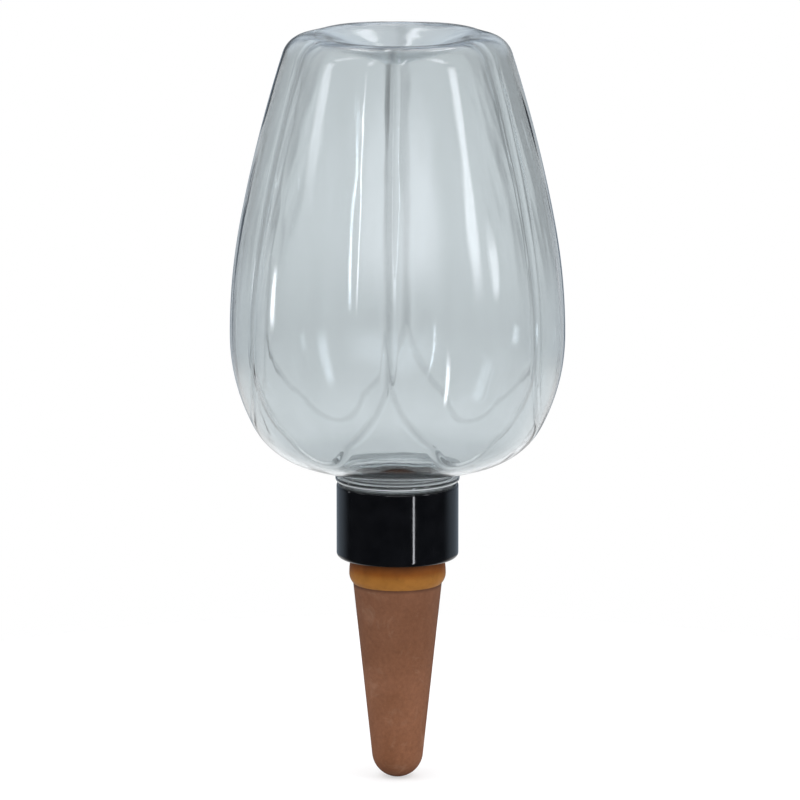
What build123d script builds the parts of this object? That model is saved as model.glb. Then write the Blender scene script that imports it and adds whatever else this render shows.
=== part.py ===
from build123d import *
import os
from math import acos, atan2, cos, degrees, hypot, radians, sin, tan

# Self watering spike: a clear petalled bottle held upside down in a black screw collar,
# with a clay cone plugged into the collar from below.
# Millimetres, +Z up along the common axis, z = 0 at the collar's underside (the soil line).
# A valley between two petals faces -Y.

# bottle neck (28 mm finish): radius at the root of the thread, and what stands out from it
NECK_RADIUS = 12.5
NECK_WALL = 1.65
THREAD_ROOM = 1.5
THROAT_FLARE = 2.7
THROAT_LENGTH = 0.7
SUPPORT_RING_THICKNESS = 1.9
SUPPORT_RING_LEDGE = 0.3
SUPPORT_RING_SLOPE = 0.8
SUPPORT_RING_GAP = 0.3

# screw collar
COLLAR_HEIGHT = 19.9
COLLAR_WALL = 2.2
COLLAR_FOOT_ROUND = 1.3
COLLAR_RIM_ROUND = 0.6
SOCKET_DEPTH = 5.0
WEB_THICKNESS = 2.0
WEB_HOLE_RADIUS = 6.0

# flat gasket under the bottle's lip
GASKET_THICKNESS = 1.5
GASKET_HOLE_RADIUS = 8.5

# bottle outline over the crest of a petal: arcs tangent to each other, turns in degrees
BELLY_RADIUS = 44.4
HIP_ARC = 51.6
HIP_TURN = 27.9
UNDER_ARC = 19.2
UNDER_TURN = 73.8
BELLY_ARC = 163.6
BELLY_TURN = 10.5
SHOULDER_ARC = 375.0
SHOULDER_TURN = 17.65
HEEL_ARC = 6.95

# petals, and the plain core that shows between their pointed lower ends
PETALS = 6
PETAL_OFFSET = 8.75
CORE_INSET = 1.5
CORE_DROP = 0.65
CORE_HIP_ARC = 61.0
CORE_HIP_TURN = 21.0
CORE_ARC = 120.0
CORE_TURN = 16.0
BOTTLE_WALL = 0.9

# base on top, pushed in as a shallow cone with a rounded tip
BASE_RECESS_RADIUS = 19.0
BASE_RECESS_LEAN = 20.0
BASE_RECESS_TIP_ROUND = 5.0

# clay cone, with a spigot that plugs into the collar
SPIGOT_RADIUS = 10.3
SPIGOT_TOP_GAP = 0.4
CONE_SHOULDER = 1.5
CONE_LENGTH = 53.0
CONE_TIP_RADIUS = 6.8
CONE_WALL = 3.2

# rubber sleeve on the spigot
SLEEVE_WALL = 1.8
SLEEVE_TOP_GAP = 0.6
SLEEVE_DROP = 7.0
SLEEVE_BULGE = 1.05
SLEEVE_BULGE_DROP = 4.4
SLEEVE_TUCK = 0.5

# room all round between pieces that slide into each other
FIT_GAP = 0.1

# radii and heights that follow from the values above
NECK_BORE_RADIUS = NECK_RADIUS - NECK_WALL
THROAT_RADIUS = NECK_RADIUS + THROAT_FLARE
BORE_RADIUS = NECK_RADIUS + THREAD_ROOM
COLLAR_RADIUS = BORE_RADIUS + COLLAR_WALL
SUPPORT_RING_RADIUS = COLLAR_RADIUS + SUPPORT_RING_LEDGE
CONE_TOP_RADIUS = SPIGOT_RADIUS + CONE_SHOULDER
WEB_TOP = SOCKET_DEPTH + WEB_THICKNESS
LIP_Z = WEB_TOP + GASKET_THICKNESS
RING_BOTTOM = COLLAR_HEIGHT + SUPPORT_RING_GAP
RING_TOP = RING_BOTTOM + SUPPORT_RING_THICKNESS
THROAT_TOP = RING_TOP + THROAT_LENGTH
SLEEVE_BORE_RADIUS = SPIGOT_RADIUS + FIT_GAP
SLEEVE_PLUG_RADIUS = SLEEVE_BORE_RADIUS + SLEEVE_WALL
SOCKET_RADIUS = SLEEVE_PLUG_RADIUS + FIT_GAP


def polar(centre, radius, turn):
    """Point at an angle on a circle in the outline plane."""
    return (centre[0] + radius * cos(radians(turn)), centre[1] + radius * sin(radians(turn)))


def spin(edges, axis_radius=0.0):
    """Solid of revolution of a closed outline about an upright axis."""
    face = Plane.XZ * make_face(edges)
    return revolve(face, Axis((axis_radius, 0, 0), (0, 0, 1)))


def spin_points(*points):
    """Solid of revolution of a straight-sided outline about the main axis."""
    return spin(Polyline(*points, close=True).edges())


def low_centres(hip_arc, hip_turn):
    """Centres of a hip arc and of the arc that follows it on the underside."""
    hip = (BELLY_RADIUS - hip_arc, 0.0)
    return hip, polar(hip, hip_arc - UNDER_ARC, -hip_turn)


# centres of the outline arcs above the widest height, which is their zero
BELLY_CENTRE = (BELLY_RADIUS - BELLY_ARC, 0.0)
SHOULDER_CENTRE = polar(BELLY_CENTRE, BELLY_ARC - SHOULDER_ARC, BELLY_TURN)
HEEL_CENTRE = polar(SHOULDER_CENTRE, SHOULDER_ARC - HEEL_ARC, SHOULDER_TURN)

# the core's underside meets the throat at its top, which sets the widest height
CORE_END = polar(low_centres(CORE_HIP_ARC, CORE_HIP_TURN)[1], UNDER_ARC, -UNDER_TURN)
CORE_RUN = CORE_END[0] - CORE_INSET - THROAT_RADIUS
CORE_THROAT_Z = CORE_END[1] - CORE_DROP - CORE_RUN / tan(radians(UNDER_TURN))
BELLY_Z = THROAT_TOP - CORE_THROAT_Z
BASE_Z = BELLY_Z + HEEL_CENTRE[1] + HEEL_ARC


def underside(inset, axis_radius, hip_arc, hip_turn):
    """Edges from the widest point down and in to an upright axis, inset by a wall."""
    hip, under = low_centres(hip_arc, hip_turn)
    end = polar(under, UNDER_ARC - inset, -UNDER_TURN)
    foot = (axis_radius, end[1] - (end[0] - axis_radius) / tan(radians(UNDER_TURN)))
    edges = [
        CenterArc(hip, hip_arc - inset, -hip_turn, hip_turn),
        CenterArc(under, UNDER_ARC - inset, -UNDER_TURN, UNDER_TURN - hip_turn),
        Line(end, foot),
    ]
    return edges, foot


def petal(inset):
    """One petal: the crest outline turned about its own axis, off the middle."""
    edges, foot = underside(inset, PETAL_OFFSET, HIP_ARC, HIP_TURN)
    top = HEEL_CENTRE[1] + HEEL_ARC - inset
    edges += [
        CenterArc(BELLY_CENTRE, BELLY_ARC - inset, 0, BELLY_TURN),
        CenterArc(SHOULDER_CENTRE, SHOULDER_ARC - inset, BELLY_TURN, SHOULDER_TURN - BELLY_TURN),
        CenterArc(HEEL_CENTRE, HEEL_ARC - inset, SHOULDER_TURN, 90 - SHOULDER_TURN),
        Line((HEEL_CENTRE[0], top), (PETAL_OFFSET, top)),
        Line((PETAL_OFFSET, top), foot),
    ]
    return Pos(0, 0, BELLY_Z) * spin(edges, PETAL_OFFSET)


def core(inset):
    """Plain round body between the petals, drawn in from their outline and fuller at the hip."""
    edges, foot = underside(inset, CORE_INSET, CORE_HIP_ARC, CORE_HIP_TURN)
    centre = (BELLY_RADIUS - CORE_ARC, 0.0)
    top = polar(centre, CORE_ARC - inset, CORE_TURN)
    edges += [
        CenterArc(centre, CORE_ARC - inset, 0, CORE_TURN),
        Line(top, (CORE_INSET, top[1])),
        Line((CORE_INSET, top[1]), foot),
    ]
    return Pos(-CORE_INSET, 0, BELLY_Z - CORE_DROP) * spin(edges, CORE_INSET)


def bulb(inset):
    """Petals and core together, inset by a wall."""
    one = petal(inset)
    step = 360 / PETALS
    return core(inset) + [Rot(0, 0, step * k) * one for k in range(PETALS)]


def base_recess(grow):
    """Hollow pushed into the base, grown by a wall."""
    radius = BASE_RECESS_TIP_ROUND + grow
    sharp_tip = BASE_Z - BASE_RECESS_RADIUS * tan(radians(BASE_RECESS_LEAN))
    centre = (0.0, sharp_tip + BASE_RECESS_TIP_ROUND / cos(radians(BASE_RECESS_LEAN)))
    flank = polar(centre, radius, BASE_RECESS_LEAN - 90)
    above = BASE_Z + BASE_RECESS_TIP_ROUND
    rim = (flank[0] + (above - flank[1]) / tan(radians(BASE_RECESS_LEAN)), above)
    edges = [
        CenterArc(centre, radius, -90, BASE_RECESS_LEAN),
        Line(flank, rim),
        Line(rim, (0, above)),
        Line((0, above), (0, centre[1] - radius)),
    ]
    return spin(edges)


def reservoir():
    """Clear bottle, upside down: petalled bulb, throat, support ring and neck in one wall."""
    neck = spin_points(
        (0, LIP_Z),
        (NECK_RADIUS, LIP_Z),
        (NECK_RADIUS, RING_BOTTOM),
        (SUPPORT_RING_RADIUS - SUPPORT_RING_SLOPE, RING_BOTTOM),
        (SUPPORT_RING_RADIUS, RING_BOTTOM + SUPPORT_RING_SLOPE),
        (SUPPORT_RING_RADIUS, RING_TOP),
        (THROAT_RADIUS, RING_TOP),
        (THROAT_RADIUS, THROAT_TOP + BOTTLE_WALL),
        (0, THROAT_TOP + BOTTLE_WALL),
    )
    flare_radius = THROAT_RADIUS - BOTTLE_WALL
    flare_top = THROAT_TOP + 2 * BOTTLE_WALL
    bore = spin_points(
        (0, LIP_Z),
        (NECK_BORE_RADIUS, LIP_Z),
        (NECK_BORE_RADIUS, RING_BOTTOM),
        (flare_radius, flare_top),
        (0, flare_top),
    )
    outside = bulb(0) + neck - base_recess(0)
    inside = bulb(BOTTLE_WALL) - base_recess(BOTTLE_WALL) + bore
    return outside - inside


def screw_collar():
    """Black collar: threaded bore above, web with a water hole, socket for the cone below."""
    body = spin_points(
        (SOCKET_RADIUS, 0),
        (COLLAR_RADIUS, 0),
        (COLLAR_RADIUS, COLLAR_HEIGHT),
        (BORE_RADIUS, COLLAR_HEIGHT),
        (BORE_RADIUS, WEB_TOP),
        (WEB_HOLE_RADIUS, WEB_TOP),
        (WEB_HOLE_RADIUS, SOCKET_DEPTH),
        (SOCKET_RADIUS, SOCKET_DEPTH),
    )
    rims = body.edges().filter_by_position(Axis.Z, COLLAR_HEIGHT, COLLAR_HEIGHT)
    body = fillet(rims, COLLAR_RIM_ROUND)
    feet = body.edges().filter_by_position(Axis.Z, 0, 0)
    return fillet(feet.sort_by(SortBy.RADIUS)[-1], COLLAR_FOOT_ROUND)


def neck_gasket():
    """Flat washer between the bottle's lip and the collar's web."""
    return spin_points(
        (GASKET_HOLE_RADIUS, WEB_TOP),
        (BORE_RADIUS - FIT_GAP, WEB_TOP),
        (BORE_RADIUS - FIT_GAP, LIP_Z),
        (GASKET_HOLE_RADIUS, LIP_Z),
    )


def seal_sleeve():
    """Rubber sleeve: a plug inside the socket, and a barrel-shaped bead below it."""
    plug_top = SOCKET_DEPTH - SLEEVE_TOP_GAP
    bulge = (CONE_TOP_RADIUS + SLEEVE_BULGE, -SLEEVE_BULGE_DROP)
    tuck = (bulge[0] - SLEEVE_TUCK, 0)
    foot = (CONE_TOP_RADIUS, -SLEEVE_DROP)
    edges = [
        *Polyline(
            foot,
            (SLEEVE_BORE_RADIUS, -SLEEVE_DROP),
            (SLEEVE_BORE_RADIUS, plug_top),
            (SLEEVE_PLUG_RADIUS, plug_top),
            (SLEEVE_PLUG_RADIUS, 0),
            tuck,
        ).edges(),
        TangentArc(bulge, tuck, tangent=(0, 1)),
        TangentArc(bulge, foot, tangent=(0, -1)),
    ]
    return spin(edges)


def clay_cone():
    """Hollow terracotta cone with a spigot on top and a rounded, closed tip."""
    rim = SOCKET_DEPTH - SPIGOT_TOP_GAP
    shoulder = -SLEEVE_DROP
    centre = (0.0, shoulder - CONE_LENGTH + CONE_TIP_RADIUS)
    height = shoulder - centre[1]
    reach = hypot(CONE_TOP_RADIUS, height)
    lean = degrees(acos(CONE_TIP_RADIUS / reach) - atan2(height, CONE_TOP_RADIUS))
    side = polar(centre, CONE_TIP_RADIUS, -lean)
    outside = [
        *Polyline(
            (0, centre[1] - CONE_TIP_RADIUS),
            (0, rim),
            (SPIGOT_RADIUS, rim),
            (SPIGOT_RADIUS, shoulder),
            (CONE_TOP_RADIUS, shoulder),
            side,
        ).edges(),
        CenterArc(centre, CONE_TIP_RADIUS, -90, 90 - lean),
    ]
    tip_bore = CONE_TIP_RADIUS - CONE_WALL
    bore = SPIGOT_RADIUS - CONE_WALL
    bend = polar(centre, tip_bore, -lean)
    inside = [
        *Polyline(
            (0, centre[1] - tip_bore),
            (0, rim),
            (bore, rim),
            (bore, bend[1] + (bore - bend[0]) / tan(radians(lean))),
            bend,
        ).edges(),
        CenterArc(centre, tip_bore, -90, 90 - lean),
    ]
    return spin(outside) - spin(inside)


PIECES = {
    "reservoir": reservoir,
    "screw_collar": screw_collar,
    "neck_gasket": neck_gasket,
    "seal_sleeve": seal_sleeve,
    "clay_cone": clay_cone,
}

os.makedirs("parts", exist_ok=True)
for name, make in PIECES.items():
    export_step(make(), f"parts/{name}.step")
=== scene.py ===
from functools import cached_property
from math import cos, hypot, pi, radians, sin, tan
import bpy
import numpy as np
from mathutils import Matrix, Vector

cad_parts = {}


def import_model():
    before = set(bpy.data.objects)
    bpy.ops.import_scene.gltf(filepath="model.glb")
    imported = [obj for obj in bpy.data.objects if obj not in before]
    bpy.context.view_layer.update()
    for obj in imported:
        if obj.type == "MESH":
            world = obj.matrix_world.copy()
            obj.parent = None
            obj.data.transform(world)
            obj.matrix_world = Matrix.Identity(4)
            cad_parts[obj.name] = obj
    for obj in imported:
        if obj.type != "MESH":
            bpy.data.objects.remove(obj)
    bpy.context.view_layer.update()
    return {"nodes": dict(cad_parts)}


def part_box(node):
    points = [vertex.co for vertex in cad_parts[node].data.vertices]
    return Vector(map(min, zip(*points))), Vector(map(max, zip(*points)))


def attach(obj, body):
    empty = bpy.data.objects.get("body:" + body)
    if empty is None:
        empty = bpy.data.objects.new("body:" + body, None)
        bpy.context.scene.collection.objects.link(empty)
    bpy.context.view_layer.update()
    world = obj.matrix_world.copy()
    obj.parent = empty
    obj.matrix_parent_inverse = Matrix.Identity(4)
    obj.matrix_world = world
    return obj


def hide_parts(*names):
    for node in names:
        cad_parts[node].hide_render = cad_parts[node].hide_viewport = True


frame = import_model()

# Looks of a self watering spike. The bottle is built here as one smooth closed shell with its
# thread and stands for the CAD reservoir; the other CAD pieces stay and get their materials.
# The shell and the threads are in millimetres, as in the CAD source, with turns in degrees.
# Materials, lights and camera are in metres.
MM = 0.001

# neck, support ring and throat
NECK_RADIUS = 12.5
NECK_BORE = 10.85
LIP_Z = 8.5
RING_BOTTOM = 20.2
RING_TOP = 22.1
RING_RADIUS = 16.5
RING_SLOPE = 0.8
THROAT = (15.2, 22.8)
FLARE = (13.16, 23.14)
WALL = 0.9

# petals and core of the bulb
BELLY_RADIUS = 44.4
HIP_ARC = 51.6
HIP_TURN = 27.9
UNDER_ARC = 19.2
UNDER_TURN = 73.8
BELLY_ARC = 163.6
BELLY_TURN = 10.5
SHOULDER_ARC = 375.0
SHOULDER_TURN = 17.65
HEEL_ARC = 6.95
PETALS = 6
PETAL_OFFSET = 8.75
CORE_INSET = 1.5
CORE_DROP = 0.65
CORE_HIP_ARC = 61.0
CORE_HIP_TURN = 21.0
CORE_ARC = 120.0
CORE_TURN = 40.0
CREASE = 0.5

# hollow in the base
RECESS_RADIUS = 19.0
RECESS_LEAN = 20.0
RECESS_TIP = 5.0
RECESS_ROUND = 2.4
RECESS_FLAT = 3.0

# thread on the neck
PITCH = 3.18
RIDGE_START = 10.6
RIDGE_TURNS = 2.4
RIDGE_HEIGHT = 1.05
RIDGE_FOOT = 1.05
RIDGE_CREST = 0.45
RIDGE_RUNOUT = 0.1

# thread in the collar
BORE_RADIUS = 14.0
MATE_TURNS = 2.3
MATE_SUNK = 0.05
MATE_HEIGHT = 1.0
MATE_FOOT = 0.8
MATE_CREST = 0.35
MATE_RUNOUT = 0.12
MATE_END = 0.3
MATE_STEPS = 150

# division of the shell
EYE_Z = 62.0
RAY_NEAR = 5.0
RAY_FAR = 120.0
HALVINGS = 40
HALF_COLUMNS = 20
CROWDING = 1.6
OUTER_ROWS = (12, 20, 24, 22, 30, 16, 6)
INNER_ROWS = (10, 16, 18, 16, 20, 12, 5)
FOOT_RUN = 2.0
FOOT_GAP = 0.4
CORNER = 0.5
CORNER_STEPS = 4
CORNER_SHARE = 0.45
TIP_STEPS = 5
ROUND_STEP = 1.5
NECK_STEP = 0.3
NECK_TOP = RING_BOTTOM - 1.0
NECK_FOOT = LIP_Z + 0.5
NECK_GAP = 0.2
LIP_GAP = 0.1
FLARE_RUN = 1.5

# measures of the creases that the material reads
PROBE = 0.02
LEAST_SLOPE = 0.02
CORE_FADE = 3
FAR = 50.0


def polar(centre, radius, turn):
    """Point at an angle on a circle in the outline plane."""
    return (centre[0] + radius * cos(radians(turn)), centre[1] + radius * sin(radians(turn)))


BELLY_CENTRE = (BELLY_RADIUS - BELLY_ARC, 0.0)
HIP_CENTRE = (BELLY_RADIUS - HIP_ARC, 0.0)
UNDER_CENTRE = polar(HIP_CENTRE, HIP_ARC - UNDER_ARC, -HIP_TURN)
SHOULDER_CENTRE = polar(BELLY_CENTRE, BELLY_ARC - SHOULDER_ARC, BELLY_TURN)
HEEL_CENTRE = polar(SHOULDER_CENTRE, SHOULDER_ARC - HEEL_ARC, SHOULDER_TURN)
UNDER_END = polar(UNDER_CENTRE, UNDER_ARC, -UNDER_TURN)
CORE_HIP_CENTRE = (BELLY_RADIUS - CORE_HIP_ARC, 0.0)
CORE_UNDER_CENTRE = polar(CORE_HIP_CENTRE, CORE_HIP_ARC - UNDER_ARC, -CORE_HIP_TURN)
CORE_END = polar(CORE_UNDER_CENTRE, UNDER_ARC, -UNDER_TURN)
UNDER_RUN = CORE_END[0] - CORE_INSET - THROAT[0]
UNDER_SLOPE = 1 / tan(radians(UNDER_TURN))
BELLY_Z = THROAT[1] - CORE_END[1] + CORE_DROP + UNDER_RUN * UNDER_SLOPE
BASE_Z = BELLY_Z + HEEL_CENTRE[1] + HEEL_ARC

# arcs from the throat to the base: centre, radius, first and last turn
PETAL_ARCS = (
    (UNDER_CENTRE, UNDER_ARC, -UNDER_TURN, -HIP_TURN),
    (HIP_CENTRE, HIP_ARC, -HIP_TURN, 0.0),
    (BELLY_CENTRE, BELLY_ARC, 0.0, BELLY_TURN),
    (SHOULDER_CENTRE, SHOULDER_ARC, BELLY_TURN, SHOULDER_TURN),
    (HEEL_CENTRE, HEEL_ARC, SHOULDER_TURN, 90.0),
)
CORE_ARCS = (
    (CORE_UNDER_CENTRE, UNDER_ARC, -UNDER_TURN, -CORE_HIP_TURN),
    (CORE_HIP_CENTRE, CORE_HIP_ARC, -CORE_HIP_TURN, 0.0),
    ((BELLY_RADIUS - CORE_ARC, 0.0), CORE_ARC, 0.0, CORE_TURN),
)


def up_slope(point, run):
    """Point further out on the slope under the petals."""
    return (point[0] + run, point[1] + run * UNDER_SLOPE)


def outline_distance(r, z, arcs):
    """Signed distance to a convex outline of tangent arcs with a straight foot and a flat top."""
    first, last = arcs[0], arcs[-1]
    lean = radians(first[2])
    d = (r - first[0][0]) * cos(lean) + (z - first[0][1]) * sin(lean) - first[1]
    d = np.maximum(d, z - last[0][1] - last[1] * sin(radians(last[3])))
    for (cr, cz), radius, low, high in arcs:
        turn = np.degrees(np.arctan2(z - cz, r - cr))
        reach = np.hypot(r - cr, z - cz) - radius
        d = np.where((turn >= low) & (turn <= high), np.maximum(d, reach), d)
    return d


def bulb_fields(x, y, z):
    """Signed distances to the core and to each petal."""
    fields = [outline_distance(np.hypot(x, y) + CORE_INSET, z - BELLY_Z + CORE_DROP, CORE_ARCS)]
    for k in range(PETALS):
        turn = 2 * pi * k / PETALS
        off = np.hypot(x - PETAL_OFFSET * cos(turn), y - PETAL_OFFSET * sin(turn))
        fields.append(outline_distance(off + PETAL_OFFSET, z - BELLY_Z, PETAL_ARCS))
    return np.array(fields)


def bulb_distance(x, y, z):
    """Signed distance to the petals and the core together, with softened creases."""
    nearest = np.sort(bulb_fields(x, y, z), axis=0)
    blend = np.maximum(CREASE - (nearest[1] - nearest[0]), 0) / CREASE
    return nearest[0] - blend * blend * CREASE / 4


def crease_distances(points):
    """Distance of each point from the line between two petals, and from a petal's edge on the core."""
    flat = points.reshape(-1, 3).T
    fields = bulb_fields(*flat)
    order = np.argsort(fields[1:], axis=0)[:2] + 1
    picks = [order[0], order[1], np.zeros(flat.shape[1], int)]
    every = np.arange(flat.shape[1])
    here = [fields[pick, every] for pick in picks]
    slopes = [[], [], []]
    for axis in range(3):
        moved = flat.copy()
        moved[axis] += PROBE
        there = bulb_fields(*moved)
        for slope, pick, value in zip(slopes, picks, here):
            slope.append((there[pick, every] - value) / PROBE)
    first, second, core = np.array(slopes)
    valley = (here[1] - here[0]) / np.maximum(np.linalg.norm(second - first, axis=0), LEAST_SLOPE)
    edge = (here[0] - here[2]) / np.maximum(np.linalg.norm(core - first, axis=0), LEAST_SLOPE)
    return valley + CORE_FADE * np.maximum(edge, 0), edge


def column_turns():
    """Angles round the bottle in radians, closer together at the valleys between petals."""
    share = 1 - (1 - np.arange(HALF_COLUMNS + 1) / HALF_COLUMNS) ** CROWDING
    half = share * pi / PETALS
    sector = np.concatenate([half, 2 * pi / PETALS - half[-2:0:-1]])
    return np.concatenate([sector + 2 * pi * k / PETALS for k in range(PETALS)])


TURNS = column_turns()
COLUMNS = len(TURNS)
SECTOR = COLUMNS // PETALS


def round_points(radius, height):
    """Points from a radius and a height for each row and column."""
    return np.stack([radius * np.cos(TURNS), radius * np.sin(TURNS), height], axis=2)


def fan_rows(slopes, level):
    """Rows of points where rays from inside the bulb meet the surface at a level."""
    turns = TURNS[:SECTOR]
    rise = np.sin(slopes)[:, None] + 0 * turns[None, :]
    run = np.cos(slopes)[:, None] + 0 * turns[None, :]
    x, y = run * np.cos(turns), run * np.sin(turns)
    low, high = np.full(rise.shape, RAY_NEAR), np.full(rise.shape, RAY_FAR)
    for _ in range(HALVINGS):
        mid = (low + high) / 2
        outside = bulb_distance(mid * x, mid * y, EYE_Z + mid * rise) > level
        high = np.where(outside, mid, high)
        low = np.where(outside, low, mid)
    return round_points(np.tile(low * run, (1, PETALS)), np.tile(EYE_Z + low * rise, (1, PETALS)))


def ring_rows(outline):
    """Rows of points for a round stretch of the outline."""
    outline = np.array(outline)
    return round_points(outline[:, :1] + 0 * TURNS, outline[:, 1:] + 0 * TURNS)


def slope_to(point):
    """Elevation of the ray from inside the bulb to a point of the outline."""
    return np.arctan2(point[1] - EYE_Z, point[0])


def fan_slopes(start, end, counts):
    """Elevations that sample the outline from the throat to the base, arc by arc."""
    first_arc = (UNDER_END[0], UNDER_END[1] + BELLY_Z)
    slopes = [np.linspace(slope_to(start), slope_to(first_arc), counts[0])]
    for (centre, radius, low, high), count in zip(PETAL_ARCS, counts[1:]):
        points = [polar(centre, radius, turn) for turn in np.linspace(low, high, count)[1:]]
        slopes.append(np.array([slope_to((r, z + BELLY_Z)) for r, z in points]))
    slopes.append(np.linspace(slopes[-1][-1], slope_to(end), counts[-1])[1:])
    return np.concatenate(slopes)


def rounded(points, radius):
    """Outline points with each inner corner eased by a short curve."""
    out = [points[0]]
    for before, corner, after in zip(points, points[1:], points[2:]):
        ends = []
        for other in (before, after):
            gap = hypot(other[0] - corner[0], other[1] - corner[1])
            share = min(radius / gap, CORNER_SHARE)
            ends.append([c + (o - c) * share for c, o in zip(corner, other)])
        for k in range(CORNER_STEPS + 1):
            t = k / CORNER_STEPS
            out.append(tuple((1 - t) ** 2 * a + 2 * t * (1 - t) * c + t * t * b
                             for a, c, b in zip(ends[0], corner, ends[1])))
    return out + [points[-1]]


def densified(points, step):
    """Outline points with long runs divided."""
    out = [points[0]]
    for a, b in zip(points, points[1:]):
        count = max(1, round(hypot(b[0] - a[0], b[1] - a[1]) / step))
        out += [tuple(p + (q - p) * k / count for p, q in zip(a, b)) for k in range(1, count + 1)]
    return out


def smooth(low, high, value):
    """Soft step from 0 at one value to 1 at another."""
    t = np.clip((value - low) / (high - low), 0, 1)
    return t * t * (3 - 2 * t)


def run_out(along, turns, length):
    """Share of a ridge's height along it: none at both ends, all of it between."""
    return smooth(0, length, along) * smooth(turns, turns - length, along)


def threaded(rows):
    """Rows of the neck with the thread's ridge raised on them."""
    turn = TURNS[None, :] / (2 * pi)
    height = rows[:, :, 2]
    along = np.round((height - RIDGE_START) / PITCH - turn) + turn
    off = np.abs(height - RIDGE_START - along * PITCH)
    ridge = smooth(RIDGE_FOOT, RIDGE_CREST, off) * run_out(along, RIDGE_TURNS, RIDGE_RUNOUT)
    scale = 1 + RIDGE_HEIGHT * ridge / NECK_RADIUS
    return np.stack([rows[:, :, 0] * scale, rows[:, :, 1] * scale, height], axis=2)


def recess_outline(grow):
    """Height of the tip of the hollow in the base, and its outline from near there to the flat rim."""
    radius = RECESS_TIP + grow
    lean = radians(RECESS_LEAN)
    centre = (0.0, BASE_Z - RECESS_RADIUS * tan(lean) + RECESS_TIP / cos(lean))
    turns = [-90 + RECESS_LEAN * k / TIP_STEPS for k in range(1, TIP_STEPS + 1)]
    points = [polar(centre, radius, turn) for turn in turns]
    base = BASE_Z - grow
    rim = points[-1][0] + (base - points[-1][1]) / tan(lean)
    tail = rounded([points[-1], (rim, base), (rim + RECESS_FLAT, base)], RECESS_ROUND)
    return centre[1] - radius, points[:-1] + densified(tail, ROUND_STEP)


def shell_faces(count):
    """Faces between rows of points, with a fan round the point at each end."""
    column = np.arange(COLUMNS)
    beside = (column + 1) % COLUMNS
    row = np.arange(count - 1)[:, None] * COLUMNS
    corners = [row + beside, row + column, row + COLUMNS + column, row + COLUMNS + beside]
    faces = np.stack(corners, axis=2).reshape(-1, 4).tolist()
    last, pole = (count - 1) * COLUMNS, count * COLUMNS
    faces += [(pole, int(a), int(b)) for a, b in zip(column, beside)]
    faces += [(pole + 1, int(last + b), int(last + a)) for a, b in zip(column, beside)]
    return faces


def shell_places(count):
    """Place of each face corner on the flattened shell, in the order of the faces."""
    u = np.arange(COLUMNS + 1) / COLUMNS
    v = (np.arange(count) + 1) / (count + 1)
    left, right = u[:-1], u[1:]
    across = np.stack([right, left, left, right], axis=1)[None, :, :] + 0 * v[:-1, None, None]
    along = np.stack([v[:-1], v[:-1], v[1:], v[1:]], axis=1)[:, None, :] + 0 * left[None, :, None]
    places = [np.stack([across, along], axis=3).reshape(-1, 2)]
    middle = (left + right) / 2
    for tip, edge, near, far in ((0.0, v[0], left, right), (1.0, v[-1], right, left)):
        corners = [(middle, tip), (near, edge), (far, edge)]
        fan = [np.stack([a, np.full(COLUMNS, b)], axis=1) for a, b in corners]
        places.append(np.stack(fan, axis=1).reshape(-1, 2))
    return np.concatenate(places)


def shell_mesh(name, rows, start_pole, end_pole):
    """Closed mesh from rows of points round the axis, with a point at each end."""
    points = np.concatenate([rows.reshape(-1, 3), [(0, 0, start_pole), (0, 0, end_pole)]])
    mesh = bpy.data.meshes.new(name)
    mesh.from_pydata((points * MM).tolist(), [], shell_faces(len(rows)))
    mesh.shade_smooth()
    layer = mesh.uv_layers.new(name="OFBake")
    layer.data.foreach_set("uv", shell_places(len(rows)).astype(np.float32).ravel())
    return mesh


def add_measure(mesh, name, values):
    """Store one number per point for the material to read."""
    layer = mesh.attributes.new(name, "FLOAT", "POINT")
    layer.data.foreach_set("value", np.asarray(values, np.float32))


def place(name, mesh, body):
    """Object of a mesh that rides on a body."""
    piece = bpy.data.objects.new(name, mesh)
    bpy.context.scene.collection.objects.link(piece)
    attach(piece, body)
    return piece


def bottle_shell():
    """The whole bottle: base, petals, throat, support ring, threaded neck and inner wall."""
    tip, recess = recess_outline(0.0)
    inner_tip, inner_recess = recess_outline(WALL)
    foot = up_slope(THROAT, FOOT_RUN)
    outside = fan_rows(fan_slopes(foot, recess[-1], OUTER_ROWS), 0.0)[::-1]
    throat = rounded([
        up_slope(foot, -FOOT_GAP),
        THROAT,
        (THROAT[0], RING_TOP),
        (RING_RADIUS, RING_TOP),
        (RING_RADIUS, RING_BOTTOM + RING_SLOPE),
        (RING_RADIUS - RING_SLOPE, RING_BOTTOM),
        (NECK_RADIUS, RING_BOTTOM),
        (NECK_RADIUS, NECK_TOP + NECK_GAP),
    ], CORNER)
    neck = densified([(NECK_RADIUS, NECK_TOP), (NECK_RADIUS, NECK_FOOT)], NECK_STEP)
    bore = densified(rounded([
        (NECK_RADIUS, NECK_FOOT - LIP_GAP),
        (NECK_RADIUS, LIP_Z),
        (NECK_BORE, LIP_Z),
        (NECK_BORE, RING_BOTTOM),
        FLARE,
        up_slope(FLARE, FLARE_RUN),
    ], CORNER), ROUND_STEP)
    inner_foot = up_slope(FLARE, FLARE_RUN + FOOT_GAP)
    inside = fan_rows(fan_slopes(inner_foot, inner_recess[-1], INNER_ROWS), -WALL)
    rows = np.concatenate([
        ring_rows(recess[:-1]), outside, ring_rows(throat), threaded(ring_rows(neck)),
        ring_rows(bore), inside, ring_rows(inner_recess[-2::-1]),
    ])
    mesh = shell_mesh("bottle_shell", rows, tip, inner_tip)
    before = (len(recess) - 1) * COLUMNS
    after = len(mesh.vertices) - before - outside.shape[0] * COLUMNS
    for name, values in zip(("valley", "edge"), crease_distances(outside)):
        add_measure(mesh, name, np.concatenate([np.full(before, FAR), values, np.full(after, FAR)]))
    return mesh


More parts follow.
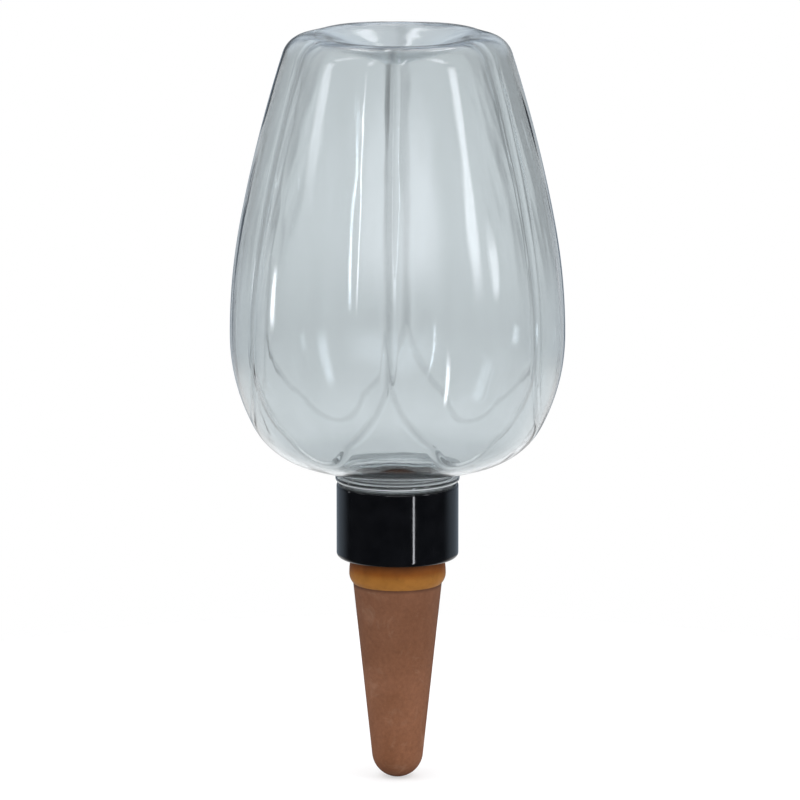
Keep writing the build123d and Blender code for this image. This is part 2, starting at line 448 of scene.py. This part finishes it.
def collar_thread():
    """Ridge inside the collar that runs between the turns of the bottle's thread."""
    root, crest = BORE_RADIUS + MATE_SUNK, BORE_RADIUS - MATE_HEIGHT
    outline = [(root, -MATE_FOOT), (crest, -MATE_CREST), (crest, MATE_CREST), (root, MATE_FOOT)]
    sides = len(outline)
    points, faces = [], []
    for k in range(MATE_STEPS + 1):
        along = k / MATE_STEPS * MATE_TURNS
        share = float(run_out(along, MATE_TURNS, MATE_RUNOUT))
        turn = 2 * pi * along
        for radius, up in outline:
            r = root - (root - radius) * share
            z = RIDGE_START + PITCH * (along - 0.5) + up * (MATE_END + (1 - MATE_END) * share)
            points.append((r * cos(turn) * MM, r * sin(turn) * MM, z * MM))
    for a in range(0, sides * MATE_STEPS, sides):
        b = a + sides
        faces += [(a + i, a + (i + 1) % sides, b + (i + 1) % sides, b + i) for i in range(sides)]
    faces += [tuple(range(sides))[::-1], tuple(range(sides * MATE_STEPS, len(points)))]
    mesh = bpy.data.meshes.new("collar_thread")
    mesh.from_pydata(points, [], faces)
    return mesh


class Nodes:
    """A node tree, built link by link."""

    def __init__(self, tree):
        self.tree = tree

    def add(self, kind, links=(), **settings):
        """A node of a kind with its settings, and with its inputs set or linked."""
        node = self.tree.nodes.new(kind)
        for key, value in settings.items():
            setattr(node, key, value)
        for key, value in dict(links).items():
            self.set(node.inputs[key], value)
        return node

    def set(self, socket, value):
        """Link an output to an input, or set the input's own value."""
        if isinstance(value, bpy.types.NodeSocket):
            self.tree.links.new(value, socket)
        else:
            socket.default_value = value

    def math(self, how, *values):
        """Result of one sum on one or two values."""
        return self.add("ShaderNodeMath", enumerate(values), operation=how).outputs[0]

    def fade(self, value, low, high, start=0.0, end=1.0):
        """Soft change from start to end while the value goes from low to high."""
        links = {"Value": value, "From Min": low, "From Max": high, "To Min": start, "To Max": end}
        return self.add("ShaderNodeMapRange", links, interpolation_type="SMOOTHSTEP").outputs["Result"]

    def mix(self, fac, a, b):
        """Number between two numbers."""
        return self.add("ShaderNodeMix", {"Factor": fac, "A": a, "B": b}).outputs["Result"]

    def blend(self, fac, a, b, how="MIX"):
        """Colour between two colours."""
        node = self.add("ShaderNodeMix", data_type="RGBA", blend_type=how)
        for index, value in ((0, fac), (6, a), (7, b)):
            self.set(node.inputs[index], (*value, 1.0) if isinstance(value, tuple) else value)
        return node.outputs[2]

    def split(self, vector):
        """The X, Y and Z of a vector."""
        return self.add("ShaderNodeSeparateXYZ", {"Vector": vector}).outputs

    def turned(self, a, b, angle):
        """First coordinate of a pair after a turn by an angle in radians."""
        return self.math("ADD", self.math("MULTIPLY", a, cos(angle)), self.math("MULTIPLY", b, sin(angle)))


class Paint(Nodes):
    """The nodes of a new material with one shader."""

    def __init__(self, name):
        self.material = bpy.data.materials.new(name)
        self.material.use_nodes = True
        super().__init__(self.material.node_tree)

    @cached_property
    def where(self):
        """Place on the piece."""
        return self.add("ShaderNodeTexCoord").outputs["Object"]

    @cached_property
    def high(self):
        """Height on the piece."""
        return self.split(self.where)["Z"]

    def finish(self, **values):
        """Set the shader's inputs by name."""
        for key, value in values.items():
            self.set(self.tree.nodes["Principled BSDF"].inputs[key.replace("_", " ")], value)
        return self.material

    def noise(self, scale, detail=4.0, rough=0.55, warp=0.0, where=None):
        """Cloudy pattern from 0 to 1."""
        links = {"Scale": scale, "Detail": detail, "Roughness": rough, "Distortion": warp}
        return self.add("ShaderNodeTexNoise", {"Vector": where or self.where, **links}).outputs["Fac"]

    def ramp(self, fac, *stops):
        """Colours or greys by value."""
        node = self.add("ShaderNodeValToRGB", {"Fac": fac})
        band = node.color_ramp.elements
        while len(band) < len(stops):
            band.new(0.5)
        for element, (at, colour) in zip(band, stops):
            element.position = at
            element.color = (*colour, 1.0) if isinstance(colour, tuple) else (colour, colour, colour, 1.0)
        return node.outputs["Color"]

    def multiply(self, colour, *factors):
        """Colour times colours or numbers, one after the other."""
        for factor in factors:
            colour = self.blend(1.0, colour, factor, "MULTIPLY")
        return colour

    def bump(self, height, distance, strength=1.0, under=None):
        """Relief from a height, laid over another relief if there is one."""
        links = {"Height": height, "Distance": distance, "Strength": strength}
        if under is not None:
            links["Normal"] = under
        return self.add("ShaderNodeBump", links).outputs["Normal"]


# zones of the bottle in metres: heights, and the base's reach from the axis
RING_ZONE = (0.0215, 0.0232)
THROAT_ZONE = (0.0232, 0.03)
HIP_ZONE = (0.036, 0.05)
BELLY_BAND_START = (0.046, 0.057)
BELLY_BAND_END = (0.06, 0.082)
RIPPLE_ZONE = (0.035, 0.085)
TOP_ZONE = (0.1, 0.138)
HEEL_ZONE = (0.128, 0.137)
BASE_ZONE = (0.128, 0.132)
BASE_REACH = (0.016, 0.028)

# frosted edges of the throat and the support ring, which stand in for their edge highlights as painted
# highlights: height and width in metres, clearness
RIM_CORE = 0.2
RIMS = (
    (0.0231, 0.0005, 0.2),
    (RING_TOP * MM, 0.0002, 0.6),
    ((RING_BOTTOM + RING_SLOPE) * MM, 0.0003, 0.3),
)

# creases between petals and at a petal's edge: measure, width and height in millimetres, painted shade
# along the crease
CREASES = (("valley", 2.4, 0.15, 0.64), ("edge", 1.8, 0.12, 0.78))
CREASE_LINE = 0.2
CREASE_SHARE = 0.7

# zones of the sleeve's painted shade and of the cone's painted light, shade and shadow line, as heights in
# metres
SLEEVE_ZONE = (-0.007, 0.0)
COLLAR_EDGE = (0.0, 0.0015)
CONE_ZONE = (-0.055, -0.012)
SHADOW_LINE_START = (-0.0082, -0.0071)
SHADOW_LINE_END = (-0.0065, -0.005)

# depths of relief in metres
RIPPLE_DEPTH = 0.0011
BLACK_SKIN = 0.00001
GREY_SKIN = 0.00005
AMBER_SKIN = 0.00004
CLAY_SKIN = 0.00012
PORE_DEPTH = 0.00006


def clear_plastic():
    """Clear tinted plastic with upright ripples, painted shade along the creases and at the top, a painted
    highlight low on the bulb, a darker band round the belly and a faintly hazy base.
    """
    paint = Paint("clear_plastic_shell")
    spot = paint.split(paint.where)
    high = spot["Z"]
    squares = [paint.math("POWER", spot[axis], 2.0) for axis in "XY"]
    radius = paint.math("SQRT", paint.math("ADD", *squares))
    stretch = {"Vector": paint.where, "Scale": (1.0, 1.0, 0.12)}
    tall = paint.add("ShaderNodeMapping", stretch).outputs["Vector"]

    # roughness
    gloss = paint.ramp(paint.noise(180.0, 5.0, 0.6), (0.35, 0.012), (0.75, 0.05))
    gloss = paint.math("ADD", gloss, paint.fade(high, *HEEL_ZONE, 0.0, 0.09))

    # beads along the creases, under the ripples, and painted shade that darkens the tint along them
    heights, painted_crease_shades = [], []
    for name, width, height, shade in CREASES:
        measure = paint.add("ShaderNodeAttribute", attribute_name=name).outputs["Fac"]
        off = paint.math("ABSOLUTE", measure)
        heights.append(paint.fade(off, 0.0, width, height, 0.0))
        painted_crease_shades.append(paint.fade(off, CREASE_LINE, CREASE_SHARE * width, shade, 1.0))
    bead = paint.bump(paint.math("MAXIMUM", *heights), MM)
    wave = paint.noise(75.0, 2.0, 0.4, where=tall)
    wave = paint.math("MULTIPLY", wave, paint.fade(high, *RIPPLE_ZONE, 0.3, 1.0))
    ripple = paint.bump(wave, RIPPLE_DEPTH, 0.5, bead)

    # tint, with painted shade along the creases and at the top, and a painted highlight low on the bulb
    bands = paint.noise(75.0, 3.0, 0.5, where=tall)
    tint = paint.ramp(bands, (0.3, (0.785, 0.828, 0.843)), (0.7, (0.84, 0.883, 0.902)))
    # a darker band round the belly
    belly_band_in = paint.fade(high, *BELLY_BAND_START, 1.0, 0.93)
    belly_band_out = paint.fade(high, *BELLY_BAND_END, 0.93, 1.0)
    around = paint.fade(radius, *BASE_REACH)
    base = paint.math("MAXIMUM", around, paint.fade(high, *BASE_ZONE, 1.0, 0.0))
    tint = paint.multiply(
        tint,
        # painted shade along the creases
        paint.math("MINIMUM", *painted_crease_shades),
        # painted shade: the top of the bulb darker
        paint.fade(high, *TOP_ZONE, 1.0, 0.96),
        # painted highlight: the low part of the bulb lighter
        paint.fade(high, *HIP_ZONE, 1.02, 1.0),
        paint.math("MAXIMUM", belly_band_in, belly_band_out),
        paint.fade(base, 0.0, 1.0, 0.94, 1.0),
    )

    # clearness: milkier round the support ring and the throat so that they show lighter as painted light,
    # with frosted bands on their edges as painted highlights
    ring = paint.fade(high, *RING_ZONE, 0.96, 0.84)
    clear = paint.math("MAXIMUM", ring, paint.fade(high, *THROAT_ZONE, 0.84, 1.0))
    clear = paint.math("MINIMUM", clear, paint.fade(base, 0.0, 1.0, 0.9, 1.0))
    for rim, width, low in RIMS:
        off = paint.math("ABSOLUTE", paint.math("SUBTRACT", high, rim))
        clear = paint.math("MINIMUM", clear, paint.fade(off, RIM_CORE * width, width, low, 1.0))
    return paint.finish(
        Base_Color=tint, Roughness=gloss, IOR=1.49, Transmission_Weight=clear, Normal=ripple)


def black_plastic():
    """Gloss black plastic with a faint unevenness."""
    paint = Paint("black_plastic_gloss")
    cloud = paint.noise(240.0, 5.0)
    tone = paint.ramp(cloud, (0.35, (0.0024, 0.0026, 0.0034)), (0.7, (0.0045, 0.0048, 0.006)))
    gloss = paint.ramp(paint.noise(420.0, 6.0, 0.65), (0.3, 0.04), (0.75, 0.1))
    skin = paint.bump(paint.noise(700.0, 2.0), BLACK_SKIN, 0.3)
    return paint.finish(Base_Color=tone, Roughness=gloss, Normal=skin)


def grey_rubber():
    """Matte grey rubber."""
    paint = Paint("grey_rubber_matte")
    tone = paint.ramp(paint.noise(600.0, 5.0), (0.3, 0.035), (0.7, 0.06))
    skin = paint.bump(paint.noise(1500.0, 4.0), GREY_SKIN, 0.5)
    return paint.finish(Base_Color=tone, Roughness=0.7, Normal=skin)


def amber_rubber():
    """Satin amber rubber with painted shade that darkens it towards the collar's edge and a painted
    highlight on its lower roll.
    """
    paint = Paint("amber_rubber_satin")
    low, high = SLEEVE_ZONE
    level = paint.add("ShaderNodeMapRange", {"Value": paint.high, "From Min": low, "From Max": high})
    # painted shade: the tone darkens upwards to the collar's edge; the light tone at the bottom is a
    # painted highlight on the lower roll
    tone = paint.ramp(
        level.outputs["Result"],
        (0.0, (0.36, 0.155, 0.035)),
        (0.41, (0.286, 0.115, 0.02)),
        (0.61, (0.215, 0.066, 0.008)),
        (0.84, (0.145, 0.042, 0.006)),
        (1.0, (0.08, 0.026, 0.006)),
    )
    cloud = paint.ramp(paint.noise(260.0, 5.0, 0.6, 0.4), (0.3, 0.82), (0.7, 1.12))
    tone = paint.multiply(tone, cloud)
    # inside the collar the tone goes back to amber, so the painted shade ends at the collar's edge
    tone = paint.blend(paint.fade(paint.high, *COLLAR_EDGE), tone, (0.2, 0.065, 0.009))
    skin = paint.bump(paint.noise(1400.0, 3.0), AMBER_SKIN, 0.4)
    return paint.finish(Base_Color=tone, Roughness=0.5, Specular_IOR_Level=0.1, Normal=skin)


def terracotta():
    """Unglazed terracotta with pores, grain, pale bloom, painted light and shade by height and a painted
    shadow line under the sleeve.
    """
    paint = Paint("terracotta_bisque")
    cloud = paint.noise(45.0, 5.0, 0.62, 0.4)
    broad = paint.ramp(cloud, (0.3, (0.166, 0.066, 0.031)), (0.7, (0.23, 0.1, 0.054)))
    grain = paint.ramp(paint.noise(950.0, 6.0, 0.7), (0.25, 0.82), (0.75, 1.15))
    bloom = paint.ramp(paint.noise(95.0, 5.0, 0.65, 0.8), (0.55, 0.0), (0.75, 0.6))
    tone = paint.blend(bloom, paint.multiply(broad, grain), (0.29, 0.165, 0.105))
    # painted light and shade: lighter towards the tip, darker towards the sleeve
    tone = paint.multiply(tone, paint.fade(paint.high, *CONE_ZONE, 1.22, 0.88))
    # painted shadow: a dark line just under the sleeve
    darker = paint.fade(paint.high, *SHADOW_LINE_START, 0.0, 0.55)
    lighter = paint.fade(paint.high, *SHADOW_LINE_END, 0.55, 0.0)
    tone = paint.blend(paint.math("MINIMUM", darker, lighter), tone, (0.05, 0.02, 0.01))
    pores = paint.add("ShaderNodeTexVoronoi", {"Vector": paint.where, "Scale": 1100.0})
    pits = paint.ramp(pores.outputs["Distance"], (0.05, 0.0), (0.22, 1.0))
    pitted = paint.bump(pits, PORE_DEPTH, 0.35)
    skin = paint.bump(paint.noise(520.0, 8.0, 0.7), CLAY_SKIN, 0.5, pitted)
    return paint.finish(Base_Color=tone, Roughness=0.88, Specular_IOR_Level=0.25, Normal=skin)


def dress(piece, material):
    """Give a piece its one material."""
    piece.data.materials.clear()
    piece.data.materials.append(material)


bottle = place("bottle_shell", bottle_shell(), "bottle")
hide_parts("reservoir")
ridge = place("collar_thread", collar_thread(), "collar")
black = black_plastic()
dress(bottle, clear_plastic())
dress(ridge, black)
dress(frame["nodes"]["screw_collar"], black)
dress(frame["nodes"]["neck_gasket"], grey_rubber())
dress(frame["nodes"]["seal_sleeve"], amber_rubber())
dress(frame["nodes"]["clay_cone"], terracotta())

# stage
FLOOR_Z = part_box("clay_cone")[0].z
FLOOR_RADIUS = 0.2
FLOOR_SIDES = 128
FLOOR_TONE = (0.55, 0.55, 0.55, 1.0)
FLOOR_GLOW = 0.48
DAYLIGHT = 1.0
WINDOW_TINT = (0.93, 0.95, 1.0)
BACK_TINT = (0.7, 0.84, 1.0)
WHITE = (1.0, 1.0, 1.0)
SOFT_EDGE = 0.3
CEILING_Z = 1.2

# camera
AZIMUTH = radians(3.0)
ELEVATION = radians(11.0)
DISTANCE = 2.4
FRAME_WIDTH = 0.212
AIM_Z = 0.04226
AIM_SIDE = 0.00066
SENSOR = 36.0
CLIP_NEAR = 0.05
CLIP_FAR = 50.0

# mirrored surroundings: ranges of the ray's direction, then brightness
WALL_BEHIND = (0.15, 0.6)
WALL_RISE = (-0.13, 0.0)
SKY_RISE = (0.0, 0.3)
SKY_BEHIND = (0.3, 0.85)
GROUND_FALL = (-0.34, -0.2)
GROUND_BEHIND = (0.3, 0.7)
BLUE_RISE = (-0.3, -0.2)
WALL_ASIDE = 0.03
WALL_LOW = 0.4
WALL_HIGH = 0.12
GROUND = 0.85

# surroundings seen through the bottle: ranges measured from the view's axis, then brightness
LOW = (-0.32, -0.08)
WIDE = (0.8, 0.99)
CLOSE = (0.93, 0.985)
UPPER = (0.009, 0.034)
LEFT_TO_RIGHT = (-0.04, 0.04)
MIDDLE_TO_SIDE = (0.025, 0.095)
FAR_BELOW = 0.98
FAR_ASIDE = 0.68
FAR_AHEAD = 0.74
NEAR_MIDDLE = 0.87
NEAR_BELOW = 0.88
NEAR_LEFT = 0.58
NEAR_RIGHT = 0.4


def floor():
    """Small white disc under the tip, which keeps the object's shadow."""
    spot = (0, 0, FLOOR_Z)
    bpy.ops.mesh.primitive_circle_add(
        vertices=FLOOR_SIDES, radius=FLOOR_RADIUS, fill_type="NGON", location=spot)
    disc = bpy.context.object
    disc.name = "floor"
    paint = Paint("floor_white")
    path = paint.add("ShaderNodeLightPath").outputs
    seen = paint.math("MAXIMUM", path["Is Camera Ray"], path["Is Transmission Ray"])
    glow = paint.math("MULTIPLY", seen, FLOOR_GLOW)
    dress(disc, paint.finish(
        Base_Color=FLOOR_TONE, Roughness=1.0, Specular_IOR_Level=0.0,
        Emission_Color=(*WHITE, 1.0), Emission_Strength=glow))
    disc.visible_glossy = False


def mirrored_light(nodes, where):
    """Brightness that glossy surfaces mirror: a dim wall, with bright sky and ground behind the object."""
    behind = nodes.fade(where["Z"], *WALL_RISE, WALL_LOW, WALL_HIGH)
    wall = nodes.fade(where["Y"], *WALL_BEHIND, WALL_ASIDE, behind)
    sky = nodes.math("MULTIPLY", nodes.fade(where["Z"], *SKY_RISE), nodes.fade(where["Y"], *SKY_BEHIND))
    low = nodes.fade(where["Z"], *GROUND_FALL, GROUND, 0.0)
    ground = nodes.math("MULTIPLY", low, nodes.fade(where["Y"], *GROUND_BEHIND))
    return nodes.math("MAXIMUM", wall, nodes.math("MAXIMUM", sky, ground))


def through_light(nodes, where):
    """Brightness seen through the bottle: lighter below, darker above at the sides."""
    level = nodes.math("ABSOLUTE", nodes.turned(where["Y"], where["X"], -AZIMUTH))
    across = nodes.turned(where["X"], where["Y"], AZIMUTH)
    ahead = nodes.turned(level, where["Z"], -ELEVATION)
    above = nodes.turned(where["Z"], level, ELEVATION)
    below = nodes.fade(above, *LOW, FAR_BELOW, FAR_ASIDE)
    wide = nodes.math("MAXIMUM", below, nodes.fade(ahead, *WIDE, FAR_ASIDE, FAR_AHEAD))
    upper = nodes.fade(across, *LEFT_TO_RIGHT, NEAR_LEFT, NEAR_RIGHT)
    side = nodes.fade(above, *UPPER, NEAR_BELOW, upper)
    aside = nodes.fade(nodes.math("ABSOLUTE", across), *MIDDLE_TO_SIDE)
    return nodes.mix(nodes.fade(ahead, *CLOSE), wide, nodes.mix(aside, NEAR_MIDDLE, side))


def world():
    """White for the camera, even daylight on surfaces, and its own view for mirrored and clear rays."""
    made = bpy.data.worlds.new("studio")
    bpy.context.scene.world = made
    made.use_nodes = True
    nodes = Nodes(made.node_tree)
    path = nodes.add("ShaderNodeLightPath").outputs
    camera_ray, glossy, clear = path["Is Camera Ray"], path["Is Glossy Ray"], path["Is Transmission Ray"]
    where = nodes.split(nodes.add("ShaderNodeTexCoord").outputs["Generated"])
    shown = nodes.mix(clear, mirrored_light(nodes, where), through_light(nodes, where))
    shown = nodes.math("MAXIMUM", shown, camera_ray)
    direct = nodes.math("MAXIMUM", camera_ray, nodes.math("MAXIMUM", glossy, clear))
    mirror = nodes.math("GREATER_THAN", glossy, clear)
    blue = nodes.math("MULTIPLY", mirror, nodes.fade(where["Z"], *BLUE_RISE))
    back = made.node_tree.nodes["Background"]
    nodes.set(back.inputs["Strength"], nodes.mix(direct, DAYLIGHT, shown))
    nodes.set(back.inputs["Color"], nodes.blend(blue, WHITE, BACK_TINT))


def soften(data, edge):
    """Let a light fade towards its borders, so that its mirror image has no hard outline."""
    data.use_nodes = True
    nodes = Nodes(data.node_tree)
    spot = nodes.split(nodes.add("ShaderNodeNewGeometry").outputs["Parametric"])
    fades = [nodes.fade(nodes.math("PINGPONG", spot[axis], 0.5), 0.0, edge) for axis in "XY"]
    nodes.set(nodes.tree.nodes["Emission"].inputs["Strength"], nodes.math("MULTIPLY", *fades))


def lamp(name, azimuth, distance, height, tilt, width, length, radiance, edge):
    """Soft rectangular light; azimuth 0 is the camera's side and 90 is +X."""
    data = bpy.data.lights.new(name, "AREA")
    data.shape = "RECTANGLE"
    data.size, data.size_y = width, length
    data.energy = radiance * pi * width * length
    data.color = WINDOW_TINT
    soften(data, edge)
    light = bpy.data.objects.new(name, data)
    bpy.context.scene.collection.objects.link(light)
    turn = radians(azimuth)
    light.location = (sin(turn) * distance, -cos(turn) * distance, height)
    light.rotation_euler = (tilt, 0, turn)
    light.visible_camera = False
    return light


def panel(name, azimuth, distance, middle, width, tall, radiance, edge=SOFT_EDGE):
    """Upright light facing the axis."""
    return lamp(name, azimuth, distance, middle, pi / 2, width, tall, radiance, edge)


def ceiling(name, azimuth, reach, width, length, radiance):
    """Light that lies flat above the object and runs outwards at an azimuth."""
    light = lamp(name, azimuth, reach, CEILING_Z, 0, width, length, radiance, SOFT_EDGE)
    light.visible_transmission = False


floor()
world()
panel("strip_right", azimuth=33.5, distance=0.6, middle=-0.2, width=0.046, tall=0.38, radiance=12.0)
panel("window_right", azimuth=60, distance=1.4, middle=0.5, width=0.34, tall=1.0, radiance=4.4)
panel("glint_right", azimuth=80, distance=1.4, middle=0.15, width=0.2, tall=0.28, radiance=3.6)
panel("wall_front", azimuth=8, distance=1.7, middle=0.5, width=2.3, tall=0.95, radiance=2.0, edge=0.45)
panel("strip_left", azimuth=-16, distance=1.5, middle=0.45, width=0.06, tall=0.95, radiance=9.0)
panel("window_left", azimuth=-72, distance=1.3, middle=0.7, width=0.4, tall=0.9, radiance=2.8)
panel("glint_left", azimuth=-100, distance=1.3, middle=-0.02, width=0.13, tall=0.22, radiance=7.0)
fill = panel("fill_right", azimuth=78, distance=1.5, middle=0.1, width=1.0, tall=0.9, radiance=2.0)
fill.visible_glossy = False
fill.visible_transmission = False
ceiling("ceiling_back_right", azimuth=170, reach=1.1, width=0.14, length=1.0, radiance=3.0)
ceiling("ceiling_back_left", azimuth=192, reach=0.9, width=0.1, length=0.8, radiance=3.6)
ceiling("ceiling_left", azimuth=-72, reach=0.75, width=0.3, length=1.0, radiance=3.5)
ceiling("ceiling_mid", azimuth=-16, reach=0.75, width=0.06, length=1.0, radiance=10.0)
ceiling("ceiling_right", azimuth=60, reach=0.75, width=0.28, length=1.0, radiance=5.0)

# the camera looks at a point near the axis, from the front and a little above
back = Vector((sin(AZIMUTH) * cos(ELEVATION), -cos(AZIMUTH) * cos(ELEVATION), sin(ELEVATION)))
aim = Vector((cos(AZIMUTH), sin(AZIMUTH), 0)) * AIM_SIDE + Vector((0, 0, AIM_Z))
lens = bpy.data.cameras.new("camera")
lens.sensor_width = SENSOR
lens.lens = SENSOR * DISTANCE / FRAME_WIDTH
lens.clip_start, lens.clip_end = CLIP_NEAR, CLIP_FAR
camera = bpy.data.objects.new("camera", lens)
bpy.context.scene.collection.objects.link(camera)
camera.location = aim + back * DISTANCE
camera.rotation_mode = "QUATERNION"
camera.rotation_quaternion = (-back).to_track_quat("-Z", "Y")
bpy.context.scene.camera = camera
bpy.context.scene.view_settings.view_transform = "Standard"
